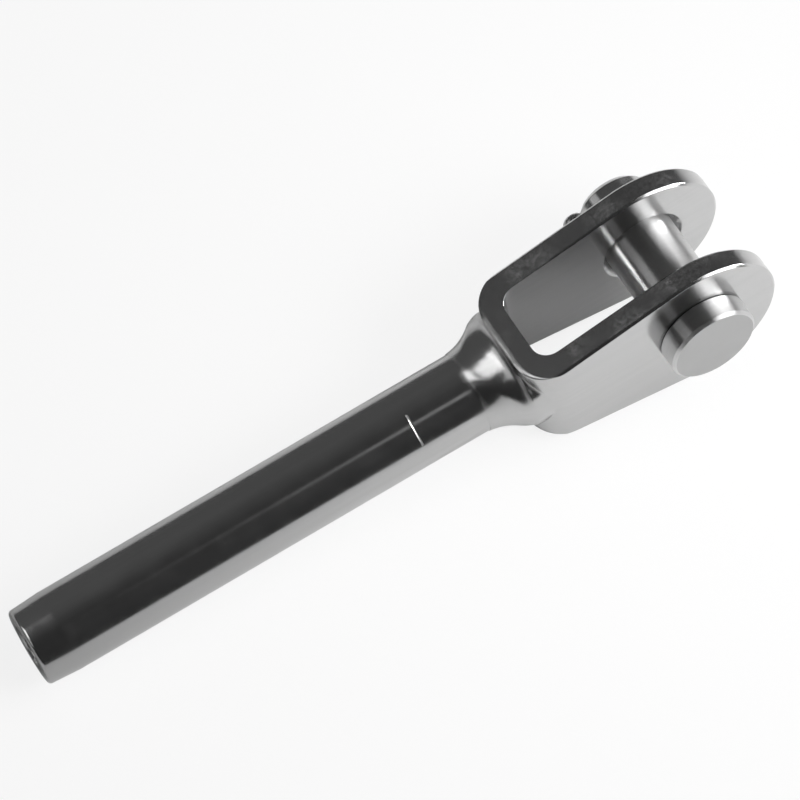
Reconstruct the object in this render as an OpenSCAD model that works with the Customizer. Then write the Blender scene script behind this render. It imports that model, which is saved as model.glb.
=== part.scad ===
// Swage fork terminal for 6 mm wire rope, with its clevis pin and split pin.
// X runs along the tube towards the open end of the jaw, Y along the clevis pin and Z upwards.
// The origin is the middle of the jaw, on the axes of the tube and the pin.

/* [Tube] */
// Outside diameter of the tube before it is swaged
tube_d = 12.55; // [10:0.05:14]
// From the pin's axis to the mouth of the tube
tube_reach = 106.85; // [90:0.05:130]
// Length of the slight taper at the mouth
mouth_taper_len = 5; // [2:0.5:10]
// Outside diameter where the taper meets the rounded mouth
mouth_d = 12; // [9:0.05:13.5]
// Radius that rounds the outer edge of the mouth
mouth_round = 0.6; // [0.3:0.1:1.5]
// Diameter of the bore that takes the wire rope
bore_d = 6.7; // [5:0.05:7.5]
// Depth of the straight wall of the bore
bore_depth = 66; // [40:0.5:68]
// Chamfer at the mouth of the bore
bore_chamfer = 0.4; // [0.1:0.1:0.8]
// Included angle of the drilled end of the bore, in degrees
drill_point = 118; // [90:1:140]

/* [Swage line] */
// From the mouth of the tube to the engraved line where swaging stops
line_at = 63.1; // [40:0.1:66]
// Width of the engraved line
line_w = 0.3; // [0.2:0.05:0.6]
// Depth of the engraved line
line_depth = 0.12; // [0.05:0.01:0.3]
// Arc of the tube that the line spans, in degrees
line_arc = 47; // [20:1:120]
// Turn of the line's middle from the top towards the pin's head, in degrees
line_turn = 37; // [-90:1:90]

/* [Fork] */
// Clear width between the two ears
jaw_gap = 12.75; // [10:0.05:16]
// From the pin's axis to the bottom of the jaw
jaw_depth = 23.7; // [20:0.1:30]
// Thickness of each ear
ear_t = 3.5; // [2.5:0.1:5]
// Diameter of the round eye at the end of each ear
eye_d = 25.3; // [20:0.1:30]
// Angle by which each edge of an ear narrows towards the tube, in degrees
ear_taper = 10.3; // [8:0.1:11]
// Thickness of the bridge that joins the ears
bridge_t = 3.4; // [2.5:0.1:5]
// Radius of the outer corners of the fork
outer_corner_r = 5.5; // [4:0.1:7]
// Radius of the inner corners of the jaw
inner_corner_r = 2.75; // [1:0.05:4]
// Chamfer along the edges of the ears
edge_break = 0.35; // [0.1:0.05:0.6]
// Chamfer of each pin hole on the outside of the fork
hole_chamfer = 0.5; // [0.1:0.05:0.6]
// Countersink of each pin hole on the side of the jaw
jaw_sink = 1; // [0.2:0.05:1.2]

/* [Neck] */
// Step from the tube up to the narrowest circle of the neck
neck_step = 0.08; // [0.02:0.01:0.2]
// From the ring where the tube ends to the back of the bridge
neck_len = 6.4; // [5.5:0.1:7]
// Radius of the hollow flare between the neck and the fork, seen from above
flare_r = 8.5; // [6:0.1:12]
// Radius of the rounded shoulder that follows the flare
shoulder_r = 4; // [2:0.1:5]
// Height of the crowns, above and below, over the start of the neck
crown_rise = 0.08; // [0.04:0.01:0.3]
// Radius of the long hollow along which each crown climbs to the bridge
crown_hollow_r = 14; // [8:0.1:20]
// Radius of the short fillet that ends the climb under the edge of the bridge
crown_fillet_r = 1.8; // [0.8:0.1:2.4]
// How far beyond the tube's axis each crown is centred
crown_offset = 3.5; // [2:0.1:10]

/* [Clevis pin] */
// Diameter of the clevis pin
pin_d = 11.1; // [8:0.1:13]
// Radial clearance of the pin in the ears
pin_play = 0.08; // [0.02:0.01:0.1]
// Diameter of the pin's head
head_d = 13.8; // [13.5:0.1:18]
// Thickness of the pin's head
head_t = 3.75; // [2:0.05:5]
// End play between the head and the ear
head_gap = 0.1; // [0.05:0.05:0.5]
// Chamfer round the face of the head
head_chamfer = 0.45; // [0.1:0.05:0.8]
// Chamfer round the underside of the head
foot_chamfer = 0.25; // [0.1:0.05:0.5]
// How far the pin's tail stands out of the far ear
tail_len = 6.1; // [5.5:0.1:10]
// Chamfer at the end of the tail
tail_chamfer = 0.85; // [0.2:0.05:1]

/* [Split pin] */
// Nominal diameter of the split pin, both legs together
split_d = 2; // [1.4:0.1:2.4]
// Radial clearance of the split pin in its hole
split_play = 0.1; // [0.05:0.01:0.2]
// From the far ear to the axis of the split pin
split_offset = 3.4; // [2.5:0.05:4]
// Turn of the split pin's eye round the clevis pin, in degrees above the open end of the jaw
split_turn = 153; // [0:1:359]
// Clear diameter inside the eye of the split pin
loop_hole_d = 1.5; // [1:0.1:3]
// Gap between the eye and the clevis pin
loop_gap = 0.6; // [0.1:0.1:1.5]
// Hairline between the two legs
leg_slit = 0.1; // [0.05:0.01:0.2]
// Radius at which each leg curls open
leg_curl_r = 5; // [2:0.1:8]
// Angle of the shorter leg's curl, in degrees
leg_curl = 42; // [10:1:60]
// Extra angle of the longer leg's curl, in degrees
leg_extra = 12; // [0:1:20]

/* [Hidden] */
$fn = 96;

// Small overshoot of every cut past the face that it opens
over = 1;

tube_r = tube_d / 2;
mouth_r = mouth_d / 2;
bore_r = bore_d / 2;
eye_r = eye_d / 2;
pin_r = pin_d / 2;
head_r = head_d / 2;
split_r = split_d / 2;
hole_r = pin_r + pin_play;

// Half widths of the jaw and the whole fork, and the back face of the bridge
jaw_half = jaw_gap / 2;
fork_half = jaw_half + ear_t;
back_x = -(jaw_depth + bridge_t);
arm_reach = over - back_x;

// The neck ends inside the bridge, where the fork is just wider than the shoulder
neck_cover = 0.3;
neck_end_x = -jaw_depth - neck_cover;
corner_run = min(bridge_t - neck_cover, outer_corner_r);
shoulder_cover = 0.1;
shoulder_top = fork_half - outer_corner_r - shoulder_cover
    + sqrt(pow(outer_corner_r, 2) - pow(outer_corner_r - corner_run, 2));

// The tube ends in a small step, and the flare and the shoulder are two circles that touch each other
ring_x = back_x - neck_len;
shoulder_set = 0.8;
shoulder_x = back_x + shoulder_set;
neck_r = tube_r + neck_step;
flare_axis_r = neck_r + flare_r;
shoulder_axis_r = shoulder_top - shoulder_r;
touch_len = flare_r + shoulder_r;
flare_x = shoulder_x - sqrt(pow(touch_len, 2) - pow(flare_axis_r - shoulder_axis_r, 2));
touch_share = flare_r / touch_len;
touch_x = flare_x + touch_share * (shoulder_x - flare_x);
touch_r = flare_axis_r - touch_share * (flare_axis_r - shoulder_axis_r);

// Each crown starts just over the neck, and its fillet meets the back of the bridge under its edge
crown_land = 0.25;
crown_slope = 55;
crown_r = crown_offset + neck_r + crown_rise;
crown_top = crown_offset + edge_z(back_x) - crown_land;
fillet_axis_r = crown_top + crown_fillet_r * cos(crown_slope);
fillet_x = back_x - crown_fillet_r * sin(crown_slope);

// The hollow and the fillet are two circles that touch each other
hollow_axis_r = crown_r + crown_hollow_r;
hollow_len = crown_hollow_r - crown_fillet_r;
hollow_x = fillet_x - sqrt(pow(hollow_len, 2) - pow(hollow_axis_r - fillet_axis_r, 2));
hollow_end_x = hollow_x + crown_hollow_r / hollow_len * (fillet_x - hollow_x);

split_y = fork_half + split_offset;
loop_x = pin_r + loop_gap + loop_hole_d / 2 + split_r;
leg_clear = 0.35;
leg_x = -(pin_r + leg_clear);

// The legs end inside the wire of the eye
leg_sink = 0.6 * split_r;
leg_end = loop_x - loop_hole_d / 2 - split_r + leg_sink;

// Height of the tapered edge of an ear above the tube's axis
function edge_z(x) = (eye_r + x * sin(ear_taper)) / cos(ear_taper);

// Turns a profile of radius and station about the tube's axis
module about_tube() {
    rotate([0, 90, 0]) rotate_extrude() children();
}

// Turns a profile of radius and station about the clevis pin's axis
module about_pin() {
    rotate([-90, 0, 0]) rotate_extrude() children();
}

// Outline of the round body: mouth, taper, tube, flare and shoulder
module round_profile() {
    edge_r = mouth_r - mouth_round;
    edge_x = -tube_reach + mouth_round;
    difference() {
        polygon([
            [0, -tube_reach], [edge_r, -tube_reach], [edge_r, edge_x], [mouth_r, edge_x],
            [tube_r, -tube_reach + mouth_taper_len], [tube_r, ring_x],
            [touch_r, ring_x], [touch_r, touch_x],
            [shoulder_axis_r, shoulder_x], [0, shoulder_x]
        ]);
        translate([flare_axis_r, flare_x]) circle(flare_r);
    }
    translate([edge_r, edge_x]) circle(mouth_round);
    translate([shoulder_axis_r, shoulder_x]) circle(shoulder_r);
    translate([0, shoulder_x]) square([shoulder_top, neck_end_x - shoulder_x]);
}

// Outline of one crown: even along the tube, then a long hollow and a short fillet up to the bridge
module crown_profile() {
    start_x = -tube_reach - over;
    difference() {
        translate([0, start_x]) square([crown_top, neck_end_x + over - start_x]);
        translate([crown_r, start_x]) square([crown_top, hollow_x - start_x]);
        intersection() {
            translate([hollow_axis_r, hollow_x]) circle(crown_hollow_r);
            translate([0, start_x]) square([hollow_axis_r, hollow_end_x - start_x]);
        }
        translate([fillet_axis_r, fillet_x]) circle(crown_fillet_r);
    }
}

// The tube and its flare, crowned above and below the neck
module tube_and_neck() {
    intersection() {
        about_tube() round_profile();
        translate([0, 0, -crown_offset]) about_tube() crown_profile();
        translate([0, 0, crown_offset]) about_tube() crown_profile();
    }
}

// Draws an upper and a lower tapered arm, each made level from X = 0 backwards
module tapered_arms() {
    for (side = [0, 1]) mirror([0, 0, side]) rotate([0, -ear_taper, 0]) translate([-arm_reach, 0, 0]) children();
}

// One arm of an ear, from the eye to past the back of the bridge.
// Its outer edge break is even, and its inner one fades out where the bridge begins.
module ear_arm() {
    fade_len = jaw_depth - inner_corner_r;
    fade = [edge_break / fade_len, -1, 1];
    difference() {
        rotate([90, 0, 90]) linear_extrude(arm_reach) polygon([
            [0, 0], [ear_t, 0], [ear_t, eye_r - edge_break], [ear_t - edge_break, eye_r], [0, eye_r]
        ]);
        translate([arm_reach - fade_len, 0, eye_r])
            rotate([0, acos(fade.z / norm(fade)), atan2(fade.y, fade.x)])
            translate([-arm_reach, -arm_reach, 0]) cube(2 * arm_reach);
    }
}

// One ear, from Y = 0 to its thickness
module ear() {
    about_pin() polygon([
        [0, 0], [eye_r - edge_break, 0], [eye_r, edge_break],
        [eye_r, ear_t - edge_break], [eye_r - edge_break, ear_t], [0, ear_t]
    ]);
    tapered_arms() ear_arm();
}

// Rectangle from X = back to X = front, with its two corners at the back rounded
module rounded_back(back, front, half, r) {
    translate([back + r, -half]) square([front - back - r, 2 * half]);
    translate([back, r - half]) square([r, 2 * (half - r)]);
    for (side = [-1, 1]) translate([back + r, side * (half - r)]) circle(r);
}

// The bridge between the ears, hollowed by the rounded bottom of the jaw
module bridge() {
    half = jaw_half + ear_t / 2;
    front_x = inner_corner_r - jaw_depth;
    difference() {
        tapered_arms() translate([0, -half, 0]) cube([arm_reach, 2 * half, eye_r]);
        linear_extrude(2 * eye_d, center = true) {
            rounded_back(-jaw_depth, over, jaw_half, inner_corner_r);
            translate([front_x, -fork_half]) square([over - front_x, 2 * fork_half]);
        }
    }
}

// The U of the fork, rounded at its outer corners
module fork() {
    intersection() {
        union() {
            bridge();
            for (side = [0, 1]) mirror([0, side, 0]) translate([0, jaw_half, 0]) ear();
        }
        linear_extrude(2 * eye_d, center = true) rounded_back(back_x, eye_r + over, fork_half, outer_corner_r);
    }
}

// The wire bore, drilled from the mouth of the tube
module wire_bore() {
    mouth_x = -tube_reach;
    point_len = bore_r / tan(drill_point / 2);
    about_tube() polygon([
        [0, mouth_x - over], [bore_r + bore_chamfer + over, mouth_x - over], [bore_r, mouth_x + bore_chamfer],
        [bore_r, mouth_x + bore_depth], [0, mouth_x + bore_depth + point_len]
    ]);
}

// The engraved line, a V that runs part of the way round the tube
module swage_line() {
    from_below = 180 + line_turn - line_arc / 2;
    translate([line_at - tube_reach, 0, 0]) rotate([0, 90, 0]) rotate([0, 0, from_below])
        rotate_extrude(angle = line_arc) polygon([
            [tube_r - line_depth, 0], [tube_r + line_depth, line_w], [tube_r + line_depth, -line_w]
        ]);
}

// The hole through one ear, countersunk towards the jaw and chamfered outside
module pin_hole() {
    about_pin() polygon([
        [0, -over], [hole_r + jaw_sink + over, -over], [hole_r, jaw_sink],
        [hole_r, ear_t - hole_chamfer], [hole_r + hole_chamfer + over, ear_t + over], [0, ear_t + over]
    ]);
}

module fork_terminal() {
    color("#c9cbcc") difference() {
        union() {
            tube_and_neck();
            fork();
        }
        wire_bore();
        swage_line();
        for (side = [0, 1]) mirror([0, side, 0]) translate([0, jaw_half, 0]) pin_hole();
    }
}

// Moves the split pin's own frame, with its eye on +X, to its hole in the tail
module at_split_pin() {
    translate([0, split_y, 0]) rotate([0, -split_turn, 0]) children();
}

module clevis_pin() {
    foot_y = -(fork_half + head_gap);
    face_y = foot_y - head_t;
    tail_y = fork_half + tail_len;
    color("#d2d4d5") difference() {
        about_pin() polygon([
            [0, face_y], [head_r - head_chamfer, face_y], [head_r, face_y + head_chamfer],
            [head_r, foot_y - foot_chamfer], [head_r - foot_chamfer, foot_y], [pin_r, foot_y],
            [pin_r, tail_y - tail_chamfer], [pin_r - tail_chamfer, tail_y], [0, tail_y]
        ]);
        at_split_pin() rotate([0, 90, 0]) cylinder(h = 2 * pin_d, r = split_r + split_play, center = true);
    }
}

// Section of one leg as seen from the axis of its curl: half-round wire, flat on its far side
module leg_section() {
    intersection() {
        translate([leg_curl_r, 0]) circle(split_r);
        translate([leg_curl_r - split_d, -split_d]) square([split_d - leg_slit / 2, 2 * split_d]);
    }
}

// One leg: straight from the eye through the clevis pin, then curled away from the other leg
module leg(curl) {
    translate([leg_x, 0, leg_curl_r]) rotate([-90, 90, 0]) {
        rotate([90, 0, 0]) linear_extrude(leg_end - leg_x) leg_section();
        rotate_extrude(angle = curl) leg_section();
    }
}

// The eye, bent from the same half-round wire with its flat side inwards
module split_loop() {
    hole = loop_hole_d / 2;
    translate([loop_x, 0, 0]) rotate([90, 0, 0]) rotate_extrude() intersection() {
        translate([hole, 0]) circle(split_r);
        translate([hole, -split_d]) square([split_d, 2 * split_d]);
    }
}

module split_pin() {
    color("#bfc1c2") at_split_pin() {
        split_loop();
        leg(leg_curl);
        mirror([0, 0, 1]) leg(leg_curl + leg_extra);
    }
}

fork_terminal();
clevis_pin();
split_pin();
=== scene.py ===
# Studio scene for a swage fork terminal: polished stainless steel on a pale floor.
# Lengths are metres, in the frame of the solids: X along the tube, Y along the clevis pin, Z up.
import math

import bmesh
import bpy
from mathutils import Matrix, Vector


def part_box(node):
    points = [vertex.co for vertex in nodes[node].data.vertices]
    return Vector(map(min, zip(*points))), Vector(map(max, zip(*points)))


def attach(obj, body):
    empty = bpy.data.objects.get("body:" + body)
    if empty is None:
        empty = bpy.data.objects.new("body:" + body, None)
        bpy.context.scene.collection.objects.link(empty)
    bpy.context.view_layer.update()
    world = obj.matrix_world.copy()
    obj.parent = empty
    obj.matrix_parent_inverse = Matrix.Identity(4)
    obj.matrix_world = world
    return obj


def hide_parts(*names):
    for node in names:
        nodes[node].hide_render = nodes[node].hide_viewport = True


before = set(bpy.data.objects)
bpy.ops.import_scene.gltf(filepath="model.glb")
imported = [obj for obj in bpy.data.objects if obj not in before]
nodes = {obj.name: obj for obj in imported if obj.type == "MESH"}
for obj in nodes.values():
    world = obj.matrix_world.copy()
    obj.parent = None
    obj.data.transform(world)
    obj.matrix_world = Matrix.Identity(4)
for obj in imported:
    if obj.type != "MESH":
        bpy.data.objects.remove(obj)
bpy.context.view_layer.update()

MM = 0.001


def linear(hex_colour):
    """An sRGB hex colour as linear RGBA."""
    channels = [int(hex_colour[i:i + 2], 16) / 255 for i in (1, 3, 5)]
    return [c / 12.92 if c <= 0.04045 else ((c + 0.055) / 1.055) ** 2.4 for c in channels] + [1.0]


def per(size_mm):
    """The texture scale that makes one pattern cell this many millimetres wide."""
    return 1 / (size_mm * MM)


def add(tree, kind, inputs=(), **settings):
    """Adds one node, with its settings and with input values or links by socket name or number."""
    node = tree.nodes.new(kind)
    for name, value in settings.items():
        setattr(node, name, value)
    for key, value in dict(inputs).items():
        if isinstance(value, bpy.types.NodeSocket):
            tree.links.new(value, node.inputs[key])
        else:
            node.inputs[key].default_value = value
    return node


# Numbers of the Mix node's sockets, because its kinds share their names
FLOAT_A, FLOAT_B = 2, 3
VECTOR_A, VECTOR_B, VECTOR_OUT = 4, 5, 1
COLOUR_A, COLOUR_B, COLOUR_OUT = 6, 7, 2


# Places on the part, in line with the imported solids
fork_low, fork_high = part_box("fork_terminal")
MOUTH_X = fork_low.x
EYE_RADIUS = fork_high.x
MOUTH_RADIUS = 6.0 * MM
BRIDGE_BACK_X = -27.1 * MM
RING_X = -33.5 * MM
JAW_BOTTOM_X = -23.7 * MM
JAW_HALF = 6.375 * MM
JAW_CORNER = 2.75 * MM
NECK_END_X = -23.0 * MM
PAD_RADIUS = 8.3 * MM
DIMPLE_RADIUS = 3.0 * MM
NEAR = 0.01 * MM
SAME_POINT = 0.001 * MM


# Fork with a plain jaw: the solid's neck ends in a low round pad with a dimple at the bottom of the jaw,
# and here the bottom is closed flat in its place

def past_corner(y):
    """How far y lies into the round corner between the bottom of the jaw and an ear."""
    return min(JAW_CORNER, max(0, abs(y) - (JAW_HALF - JAW_CORNER)))


def jaw_bottom(y):
    """X of the bottom of the jaw, which curves up into the ears."""
    return JAW_BOTTOM_X + JAW_CORNER - math.sqrt(JAW_CORNER ** 2 - past_corner(y) ** 2)


def jaw_facing(y):
    """The way that the bottom of the jaw faces."""
    past = past_corner(y)
    return Vector((math.sqrt(JAW_CORNER ** 2 - past ** 2), -math.copysign(past, y), 0)) / JAW_CORNER


def on_pad(point):
    reach = math.hypot(point.y, point.z)
    rise = point.x - jaw_bottom(point.y)
    if rise < -NEAR or point.x > NECK_END_X + NEAR:
        return False
    return reach < DIMPLE_RADIUS or (reach < PAD_RADIUS and rise > NEAR)


def plain_jaw_fork():
    """The solid's own mesh and shading without the pad, closed between the two rims that the pad leaves."""
    mesh = nodes["fork_terminal"].data.copy()
    mesh.name = "fork_body"
    kept = mesh.attributes.new("shading", "FLOAT_VECTOR", "CORNER")
    kept.data.foreach_set("vector", [c for corner in mesh.corner_normals for c in corner.vector])
    bm = bmesh.new()
    bm.from_mesh(mesh)
    bmesh.ops.remove_doubles(bm, verts=bm.verts, dist=SAME_POINT)
    pad = [face for face in bm.faces if on_pad(face.calc_center_median())]
    in_pad = set(pad)
    border = [edge for edge in bm.edges if sum(face in in_pad for face in edge.link_faces) == 1]
    rims = [edge for edge in border if edge.verts[0].co.z * edge.verts[1].co.z > 0]
    bmesh.ops.delete(bm, geom=pad, context="FACES")
    closing = bmesh.ops.bridge_loops(bm, edges=rims)["faces"] if rims else []
    bm.normal_update()
    bmesh.ops.reverse_faces(bm, faces=[face for face in closing if face.normal.x < 0])
    shading = bm.loops.layers.float_vector["shading"]
    for face in closing:
        face.smooth = True
        for loop in face.loops:
            loop[shading] = jaw_facing(loop.vert.co.y)
    bm.to_mesh(mesh)
    bm.free()
    kept = mesh.attributes["shading"]
    mesh.normals_split_custom_set([corner.vector for corner in kept.data])
    mesh.attributes.remove(kept)
    body = bpy.data.objects.new("fork_body", mesh)
    bpy.context.scene.collection.objects.link(body)
    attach(body, "terminal")
    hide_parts("fork_terminal")
    return body


fork_body = plain_jaw_fork()


# Materials
EDGE_RUN_IN = 0.4 * MM
BLEND_START_X = RING_X - 2 * MM
BLEND_FULL_X = RING_X - 1 * MM
BLEND_STOP_X = BRIDGE_BACK_X + 3 * MM
BROKEN_EDGE = 0.15 * MM
BLENDED_EDGE = 1.4 * MM
PIN_EDGE = 0.2 * MM
TAIL_RUN_IN = 0.5 * MM
GLOW_SHARE = 0.85


def new_material(name):
    material = bpy.data.materials.new(name)
    material.use_nodes = True
    material.node_tree.nodes.clear()
    return material, material.node_tree


def polished_stainless_terminal():
    """Forged and turned stainless steel, buffed to a soft mirror. The tube and the outer faces show clean
    dark and light reflections, and the narrow edges of the fork keep a mottled, tumbled grain."""
    material, tree = new_material("polished_stainless_terminal")
    coords = add(tree, "ShaderNodeTexCoord")
    spot = coords.outputs["Object"]
    place = add(tree, "ShaderNodeSeparateXYZ", {0: spot})
    place_x = place.outputs["X"]
    facing = add(tree, "ShaderNodeSeparateXYZ", {0: coords.outputs["Normal"]})
    # Narrow edges of the fork: faces that look up or down, ahead of the back of the bridge
    steep = add(tree, "ShaderNodeMath", {0: facing.outputs["Z"]}, operation="ABSOLUTE")
    level = add(tree, "ShaderNodeMapRange", {"Value": steep.outputs[0], "From Min": 0.55, "From Max": 0.8})
    ahead = add(tree, "ShaderNodeMapRange",
                {"Value": place_x, "From Min": BRIDGE_BACK_X, "From Max": BRIDGE_BACK_X + EDGE_RUN_IN})
    edges = add(tree, "ShaderNodeMath", {0: level.outputs[0], 1: ahead.outputs[0]}, operation="MULTIPLY")
    # Buffing leaves a slow ripple and a faint haze
    ripple = add(tree, "ShaderNodeTexNoise", {"Vector": spot, "Scale": per(9), "Detail": 2.0})
    haze = add(tree, "ShaderNodeTexNoise", {"Vector": spot, "Scale": per(2.5), "Detail": 4.0})
    # The neck was blended by hand on a wheel: it starts to rise at the ring, is a little uneven,
    # and runs into the tube and the fork without an edge
    wheel = add(tree, "ShaderNodeTexNoise", {"Vector": spot, "Scale": per(3.5), "Detail": 2.0})
    rise = add(tree, "ShaderNodeMapRange", {"Value": place_x, "From Min": RING_X, "From Max": BRIDGE_BACK_X})
    uneven = add(tree, "ShaderNodeMath",
                 {0: wheel.outputs["Fac"], 1: rise.outputs[0]}, operation="MULTIPLY")
    behind = add(tree, "ShaderNodeMath", {0: 1.0, 1: ahead.outputs[0]}, operation="SUBTRACT")
    neck_wave = add(tree, "ShaderNodeMath",
                    {0: uneven.outputs[0], 1: behind.outputs[0]}, operation="MULTIPLY")
    past_ring = add(tree, "ShaderNodeMapRange",
                    {"Value": place_x, "From Min": BLEND_START_X, "From Max": BLEND_FULL_X})
    before_jaw = add(tree, "ShaderNodeMapRange",
                     {"Value": place_x, "From Min": BLEND_STOP_X, "From Max": BRIDGE_BACK_X})
    neck = add(tree, "ShaderNodeMath",
               {0: past_ring.outputs[0], 1: before_jaw.outputs[0]}, operation="MULTIPLY")
    # Drawing lines along the tube, drawn coarser than the real ones so that they show
    along = add(tree, "ShaderNodeMapping", {"Vector": spot, "Scale": (0.02, 1, 1)})
    lines = add(tree, "ShaderNodeTexNoise", {"Vector": along.outputs[0], "Scale": per(0.6), "Detail": 3.0})
    # Tumbled grain on the edges, also drawn a little coarser, strong in some patches and faint in others
    grain = add(tree, "ShaderNodeTexNoise",
                {"Vector": spot, "Scale": per(0.7), "Detail": 6.0, "Roughness": 0.7})
    patches = add(tree, "ShaderNodeTexNoise", {"Vector": spot, "Scale": per(6), "Detail": 1.0})
    strength = add(tree, "ShaderNodeMapRange",
                   {"Value": patches.outputs["Fac"], "From Min": 0.4, "From Max": 0.6,
                    "To Min": 0.15, "To Max": 1.0})
    worn = add(tree, "ShaderNodeMapRange",
               {"Value": grain.outputs["Fac"], "From Min": 0.36, "From Max": 0.66})
    mottle = add(tree, "ShaderNodeMath", {0: worn.outputs[0], 1: strength.outputs[0]}, operation="MULTIPLY")
    grain_height = add(tree, "ShaderNodeMath",
                       {0: grain.outputs["Fac"], 1: edges.outputs[0]}, operation="MULTIPLY")
    # Edges are broken by tumbling, and those of the neck are blended away
    edge_radius = add(tree, "ShaderNodeMapRange",
                      {"Value": neck.outputs[0], "To Min": BROKEN_EDGE, "To Max": BLENDED_EDGE})
    rounding = add(tree, "ShaderNodeBevel", {"Radius": edge_radius.outputs[0]}, samples=8)
    normal = rounding.outputs[0]
    reliefs = [
        (ripple.outputs["Fac"], 0.03 * MM),
        (rise.outputs[0], 1.2 * MM),
        (neck_wave.outputs[0], 0.12 * MM),
        (lines.outputs["Fac"], 0.002 * MM),
        (grain_height.outputs[0], 0.002 * MM),
    ]
    for height, depth in reliefs:
        bump = add(tree, "ShaderNodeBump", {"Height": height, "Distance": depth, "Normal": normal})
        normal = bump.outputs[0]
    gloss = add(tree, "ShaderNodeMapRange",
                {"Value": haze.outputs["Fac"], "From Min": 0.3, "From Max": 0.75,
                 "To Min": 0.15, "To Max": 0.20})
    grain_gloss = add(tree, "ShaderNodeMix", {"Factor": mottle.outputs[0], FLOAT_A: 0.17, FLOAT_B: 0.25})
    roughness = add(tree, "ShaderNodeMix",
                    {"Factor": edges.outputs[0], FLOAT_A: gloss.outputs[0], FLOAT_B: grain_gloss.outputs[0]})
    sheen = add(tree, "ShaderNodeMix",
                {"Factor": lines.outputs["Fac"], COLOUR_A: linear("#b8b8b8"), COLOUR_B: linear("#c2c2c2")},
                data_type="RGBA")
    tumbled = add(tree, "ShaderNodeMix",
                  {"Factor": mottle.outputs[0], COLOUR_A: linear("#a4a4a4"), COLOUR_B: linear("#cacaca")},
                  data_type="RGBA")
    colour = add(tree, "ShaderNodeMix",
                 {"Factor": edges.outputs[0], COLOUR_A: sheen.outputs[COLOUR_OUT],
                  COLOUR_B: tumbled.outputs[COLOUR_OUT]}, data_type="RGBA")
    shader = add(tree, "ShaderNodeBsdfPrincipled",
                 {"Metallic": 1.0, "Base Color": colour.outputs[COLOUR_OUT],
                  "Roughness": roughness.outputs[0], "Normal": normal})
    add(tree, "ShaderNodeOutputMaterial", {"Surface": shader.outputs[0]})
    return material


def turned_stainless_pin():
    """Stainless bar turned on a lathe: hair-fine rings round the shank and the head draw every reflection
    out along the pin, so it shows straight stripes from end to end."""
    material, tree = new_material("turned_stainless_pin")
    coords = add(tree, "ShaderNodeTexCoord")
    spot = coords.outputs["Object"]
    place = add(tree, "ShaderNodeSeparateXYZ", {0: spot})
    flat = add(tree, "ShaderNodeCombineXYZ", {"X": place.outputs["X"], "Y": place.outputs["Z"]})
    radius = add(tree, "ShaderNodeVectorMath", {0: flat.outputs[0]}, operation="LENGTH")
    around_spot = add(tree, "ShaderNodeCombineXYZ", {"X": radius.outputs["Value"], "Y": place.outputs["Y"]})
    # Tool rings, drawn coarser than the real feed so that they show
    rings = add(tree, "ShaderNodeTexNoise",
                {"Vector": around_spot.outputs[0], "Scale": per(0.2), "Detail": 3.0})
    haze = add(tree, "ShaderNodeTexNoise", {"Vector": spot, "Scale": per(2.2), "Detail": 4.0})
    ripple = add(tree, "ShaderNodeTexNoise", {"Vector": spot, "Scale": per(7), "Detail": 2.0})
    rounding = add(tree, "ShaderNodeBevel", {"Radius": PIN_EDGE}, samples=8)
    normal = rounding.outputs[0]
    for height, depth in [(ripple.outputs["Fac"], 0.012 * MM), (rings.outputs["Fac"], 0.001 * MM)]:
        bump = add(tree, "ShaderNodeBump", {"Height": height, "Distance": depth, "Normal": normal})
        normal = bump.outputs[0]
    shank_gloss = add(tree, "ShaderNodeMapRange",
                      {"Value": haze.outputs["Fac"], "From Min": 0.3, "From Max": 0.75,
                       "To Min": 0.34, "To Max": 0.38})
    # The tail behind the fork is smoother
    tail = add(tree, "ShaderNodeMapRange",
               {"Value": place.outputs["Y"], "From Min": fork_high.y, "From Max": fork_high.y + TAIL_RUN_IN})
    roughness = add(tree, "ShaderNodeMix",
                    {"Factor": tail.outputs[0], FLOAT_A: shank_gloss.outputs[0], FLOAT_B: 0.2})
    sheen = add(tree, "ShaderNodeMix",
                {"Factor": rings.outputs["Fac"], COLOUR_A: linear("#c6c6c6"), COLOUR_B: linear("#d2d2d2")},
                data_type="RGBA")
    # The rings run round the shank, and the faced ends are darker, with an even lay
    facing = add(tree, "ShaderNodeSeparateXYZ", {0: coords.outputs["Normal"]})
    steep = add(tree, "ShaderNodeMath", {0: facing.outputs["Y"]}, operation="ABSOLUTE")
    end_face = add(tree, "ShaderNodeMapRange",
                   {"Value": steep.outputs[0], "From Min": 0.85, "From Max": 0.95})
    colour = add(tree, "ShaderNodeMix",
                 {"Factor": end_face.outputs[0], COLOUR_A: sheen.outputs[COLOUR_OUT],
                  COLOUR_B: linear("#b2b2b2")}, data_type="RGBA")
    around = add(tree, "ShaderNodeTangent", direction_type="RADIAL", axis="Y")
    across = add(tree, "ShaderNodeTangent", direction_type="RADIAL", axis="X")
    lay = add(tree, "ShaderNodeMix",
              {"Factor": end_face.outputs[0], VECTOR_A: around.outputs[0], VECTOR_B: across.outputs[0]},
              data_type="VECTOR")
    shader = add(tree, "ShaderNodeBsdfPrincipled",
                 {"Metallic": 1.0, "Base Color": colour.outputs[COLOUR_OUT],
                  "Roughness": roughness.outputs[0], "Normal": normal,
                  "Anisotropic": 1.0, "Anisotropic Rotation": 0.25, "Tangent": lay.outputs[VECTOR_OUT]})
    add(tree, "ShaderNodeOutputMaterial", {"Surface": shader.outputs[0]})
    return material


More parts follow.
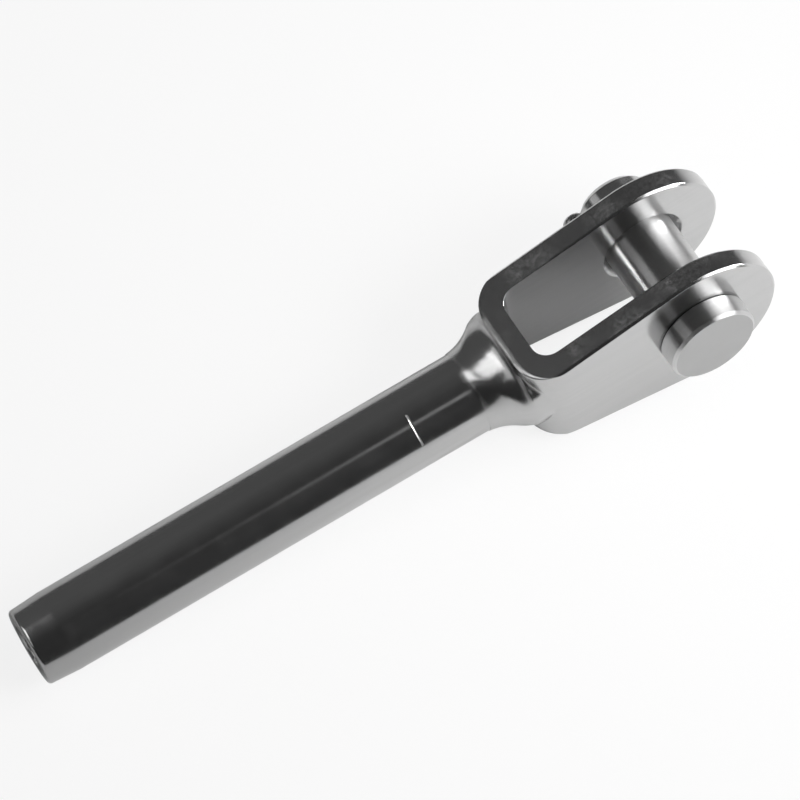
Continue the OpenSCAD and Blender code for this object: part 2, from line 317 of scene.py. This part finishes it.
def drawn_stainless_wire():
    """Half-round stainless wire, drawn and bent: a satin grey with a fine grain."""
    material, tree = new_material("drawn_stainless_wire")
    coords = add(tree, "ShaderNodeTexCoord")
    grain = add(tree, "ShaderNodeTexNoise",
                {"Vector": coords.outputs["Object"], "Scale": per(0.25), "Detail": 4.0})
    bump = add(tree, "ShaderNodeBump", {"Height": grain.outputs["Fac"], "Distance": 0.002 * MM})
    roughness = add(tree, "ShaderNodeMapRange",
                    {"Value": grain.outputs["Fac"], "To Min": 0.2, "To Max": 0.34})
    colour = add(tree, "ShaderNodeMix",
                 {"Factor": grain.outputs["Fac"], COLOUR_A: linear("#aeaeae"), COLOUR_B: linear("#bebebe")},
                 data_type="RGBA")
    shader = add(tree, "ShaderNodeBsdfPrincipled",
                 {"Metallic": 1.0, "Base Color": colour.outputs[COLOUR_OUT],
                  "Roughness": roughness.outputs[0], "Normal": bump.outputs[0]})
    add(tree, "ShaderNodeOutputMaterial", {"Surface": shader.outputs[0]})
    return material


def pale_board():
    """Matt white board with a barely visible mottle. To the camera it glows, as a lit table does."""
    material, tree = new_material("pale_board")
    coords = add(tree, "ShaderNodeTexCoord")
    mottle = add(tree, "ShaderNodeTexNoise",
                 {"Vector": coords.outputs["Object"], "Scale": per(40), "Detail": 3.0})
    colour = add(tree, "ShaderNodeMix",
                 {"Factor": mottle.outputs["Fac"], COLOUR_A: linear("#f0f0f0"), COLOUR_B: linear("#f4f4f4")},
                 data_type="RGBA")
    board = add(tree, "ShaderNodeBsdfDiffuse", {"Color": colour.outputs[COLOUR_OUT]})
    glow = add(tree, "ShaderNodeEmission", {"Color": linear("#ffffff")})
    path = add(tree, "ShaderNodeLightPath")
    share = add(tree, "ShaderNodeMath",
                {0: path.outputs["Is Camera Ray"], 1: GLOW_SHARE}, operation="MULTIPLY")
    shader = add(tree, "ShaderNodeMixShader",
                 {0: share.outputs[0], 1: board.outputs[0], 2: glow.outputs[0]})
    add(tree, "ShaderNodeOutputMaterial", {"Surface": shader.outputs[0]})
    return material


FINISHES = [
    (fork_body, polished_stainless_terminal),
    (nodes["clevis_pin"], turned_stainless_pin),
    (nodes["split_pin"], drawn_stainless_wire),
]
for piece, make_finish in FINISHES:
    piece.data.materials.clear()
    piece.data.materials.append(make_finish())


# Floor: the part lies on the eyes of the fork and on the lower edge of the tube's mouth.
# The board ends not far in front of the part, and the room beyond it is dim.
BOARD_FRONT_Y = -0.12
BOARD_REACH = 1.2
floor_slope = math.asin((EYE_RADIUS - MOUTH_RADIUS) / -MOUTH_X)


def lay_floor():
    bm = bmesh.new()
    bmesh.ops.create_grid(bm, x_segments=1, y_segments=1, size=BOARD_REACH)
    down = Matrix.Translation((0, BOARD_REACH + BOARD_FRONT_Y, -EYE_RADIUS))
    bmesh.ops.transform(bm, matrix=Matrix.Rotation(floor_slope, 4, "Y") @ down, verts=bm.verts)
    mesh = bpy.data.meshes.new("floor")
    bm.to_mesh(mesh)
    bm.free()
    floor = bpy.data.objects.new("floor", mesh)
    mesh.materials.append(pale_board())
    bpy.context.scene.collection.objects.link(floor)


lay_floor()


# Light
LIGHT_DISTANCE = 0.8


def direction(azimuth, elevation):
    """A unit vector at an azimuth from +X towards +Y and an elevation, both in degrees."""
    a, e = math.radians(azimuth), math.radians(elevation)
    return Vector((math.cos(e) * math.cos(a), math.cos(e) * math.sin(a), math.sin(e)))


def softbox(name, azimuth, elevation, width, height, radiance):
    """A soft light that the metal mirrors, with its width and height as angles in degrees."""
    light = bpy.data.lights.new(name, "AREA")
    light.shape = "RECTANGLE"
    light.size = 2 * LIGHT_DISTANCE * math.tan(math.radians(width / 2))
    light.size_y = 2 * LIGHT_DISTANCE * math.tan(math.radians(height / 2))
    light.energy = radiance * math.pi * light.size * light.size_y
    holder = bpy.data.objects.new(name, light)
    out = direction(azimuth, elevation)
    turn = out.to_track_quat("Z", "Y").to_matrix().to_4x4()
    holder.matrix_world = Matrix.Translation(out * LIGHT_DISTANCE) @ turn
    bpy.context.scene.collection.objects.link(holder)
    return holder


def flag_off_pin(holder):
    """Keeps a light on the fork alone, as a flag in front of it would."""
    lit = bpy.data.collections.new(holder.name + "_lit")
    lit.objects.link(fork_body)
    holder.light_linking.receiver_collection = lit


def table_light(name, place, aim, radius, cone, strength):
    """A spot that lights the floor, brightest where it aims, and is kept out of the metal's reflections."""
    light = bpy.data.lights.new(name, "SPOT")
    light.shadow_soft_size = radius
    light.spot_size = math.radians(cone)
    light.spot_blend = 1.0
    way = place - aim
    light.energy = strength * 4 * math.pi * way.length_squared
    holder = bpy.data.objects.new(name, light)
    holder.matrix_world = Matrix.Translation(place) @ way.to_track_quat("Z", "Y").to_matrix().to_4x4()
    holder.visible_glossy = False
    holder.visible_camera = False
    bpy.context.scene.collection.objects.link(holder)


def dim_room():
    """A dim room round the table for the reflections, and a pale backdrop for the camera."""
    world = bpy.data.worlds.new("dim_room")
    bpy.context.scene.world = world
    world.use_nodes = True
    tree = world.node_tree
    tree.nodes.clear()
    coords = add(tree, "ShaderNodeTexCoord")
    way = add(tree, "ShaderNodeSeparateXYZ", {0: coords.outputs["Generated"]})
    side = add(tree, "ShaderNodeMapRange", {"Value": way.outputs["Y"], "From Min": -0.4, "From Max": 0.6})
    room = add(tree, "ShaderNodeMix",
               {"Factor": side.outputs[0], COLOUR_A: linear("#363636"), COLOUR_B: linear("#5c5c5c")},
               data_type="RGBA")
    path = add(tree, "ShaderNodeLightPath")
    seen = add(tree, "ShaderNodeMix",
               {"Factor": path.outputs["Is Camera Ray"], COLOUR_A: room.outputs[COLOUR_OUT],
                COLOUR_B: linear("#fafafa")}, data_type="RGBA")
    background = add(tree, "ShaderNodeBackground", {"Color": seen.outputs[COLOUR_OUT]})
    add(tree, "ShaderNodeOutputWorld", {"Surface": background.outputs[0]})


dim_room()
table_light("overhead", place=Vector((20, 0, 150)) * MM, aim=Vector((20, 0, 0)) * MM,
            radius=0.06, cone=120, strength=1.0)
table_light("front_right", place=Vector((150, -200, 200)) * MM, aim=Vector((45, -25, -10)) * MM,
            radius=0.08, cone=60, strength=2.7)
softbox("front_softbox", azimuth=-34, elevation=23, width=54, height=44, radiance=4.0)
softbox("rear_glow", azimuth=170, elevation=39, width=50, height=26, radiance=0.62)
flag_off_pin(softbox("jaw_softbox", azimuth=-8, elevation=14, width=20, height=12, radiance=100))
flag_off_pin(softbox("neck_softbox", azimuth=158, elevation=57, width=28, height=26, radiance=1.6))
flag_off_pin(softbox("stripe_light", azimuth=-74, elevation=61, width=8, height=8, radiance=0.4))


# Camera: the photograph's view, with a long lens
CAMERA_TARGET = Vector((-41.81, 6.21, -3.19)) * MM
CAMERA_DISTANCE = 941.54 * MM
CAMERA_HEADING = -16.221
CAMERA_ELEVATION = 60.833
CAMERA_ROLL = -15.958
CAMERA_LENS = 292.5
CAMERA_SENSOR = 36
CAMERA_NEAR = 0.01


def set_camera():
    camera = bpy.data.cameras.new("camera")
    camera.lens = CAMERA_LENS
    camera.sensor_width = CAMERA_SENSOR
    camera.clip_start = CAMERA_NEAR
    holder = bpy.data.objects.new("camera", camera)
    heading = Matrix.Rotation(math.radians(CAMERA_HEADING), 4, "Z")
    tilt = Matrix.Rotation(math.radians(90 - CAMERA_ELEVATION), 4, "X")
    roll = Matrix.Rotation(math.radians(CAMERA_ROLL), 4, "Z")
    back = Matrix.Translation((0, 0, CAMERA_DISTANCE))
    holder.matrix_world = Matrix.Translation(CAMERA_TARGET) @ heading @ tilt @ roll @ back
    bpy.context.scene.collection.objects.link(holder)
    bpy.context.scene.camera = holder


set_camera()
bpy.context.scene.view_settings.view_transform = "Standard"
